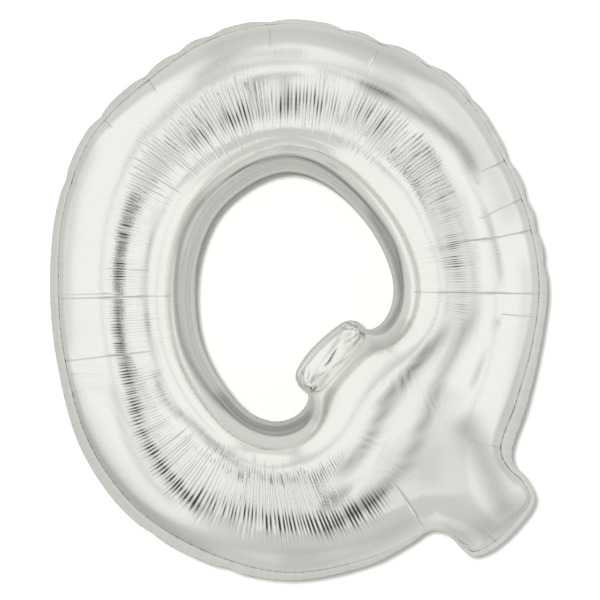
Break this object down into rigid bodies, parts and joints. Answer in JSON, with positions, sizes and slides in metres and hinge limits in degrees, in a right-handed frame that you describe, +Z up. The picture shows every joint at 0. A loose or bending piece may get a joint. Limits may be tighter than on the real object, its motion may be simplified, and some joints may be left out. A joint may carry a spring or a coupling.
{
  "type": "letter foil balloon",
  "caption": "Inflated silver foil balloon in the shape of a capital letter Q, with flat welded seams round the outside and the hole.",
  "frame": {"origin": "middle of the letter's box, on the seam plane between the front and back sheets; the balloon floats or hangs, so air holds it there", "axes": "+Z up along the upright letter, +X to the right as the letter is read, -Y out of the front sheet towards the reader"},
  "size_m": [0.7749, 0.2006, 0.8743],
  "materials": {
    "front_film": "satin silver aluminised film, finely puckered",
    "back_film": "satin silver aluminised film, finely puckered",
    "outer_weld": "two plies of satin silver film welded flat",
    "hole_weld": "two plies of satin silver film welded flat",
    "tab_film": "satin silver film tab"
  },
  "bodies": {
    "root": {"front_sheet": "front_film", "back_sheet": "back_film", "outer_seam": "outer_weld", "hole_seam": "hole_weld", "fill_tab": "tab_film"}
  },
  "joints": []
}
